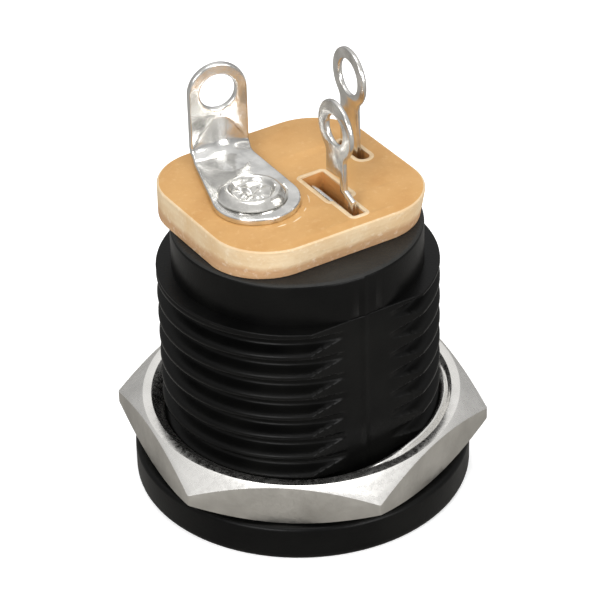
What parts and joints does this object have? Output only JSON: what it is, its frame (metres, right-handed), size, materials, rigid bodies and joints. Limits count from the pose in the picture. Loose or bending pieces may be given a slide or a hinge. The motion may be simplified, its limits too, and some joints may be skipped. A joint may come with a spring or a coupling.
{
  "type": "panel-mount dc barrel jack",
  "caption": "Panel-mount DC barrel jack, black threaded body with two flats and a flange, nickel-plated hex nut, and a tan phenolic board with upright solder lugs.",
  "frame": {"origin": "centre of the flange's front face, on the thread's axis", "axes": "+Z runs along the thread's axis from the flange to the solder lugs; the two flats face +Y and -Y; the socket lies on the -X side of the thread's axis"},
  "size_m": [0.015, 0.016, 0.0187],
  "materials": {
    "moulded_nylon": "moulded black nylon, finely grained on the flange, smoother on the thread",
    "nut_nickel": "nickel-plated nut, bright faces, satin grained side flats",
    "phenolic_laminate": "tan paper laminate, satin top, pale fibrous sawn edge",
    "pin_nickel": "nickel-plated turned brass pin with a peened head",
    "lug_tinplate": "bright plated pressed brass sheet",
    "contact_tinplate": "bright plated spring bronze sheet"
  },
  "bodies": {
    "root": {"housing": "moulded_nylon", "hex_nut": "nut_nickel", "back_board": "phenolic_laminate", "centre_pin": "pin_nickel", "pin_lug": "lug_tinplate", "sleeve_contact": "contact_tinplate", "switch_contact": "contact_tinplate"}
  },
  "joints": []
}
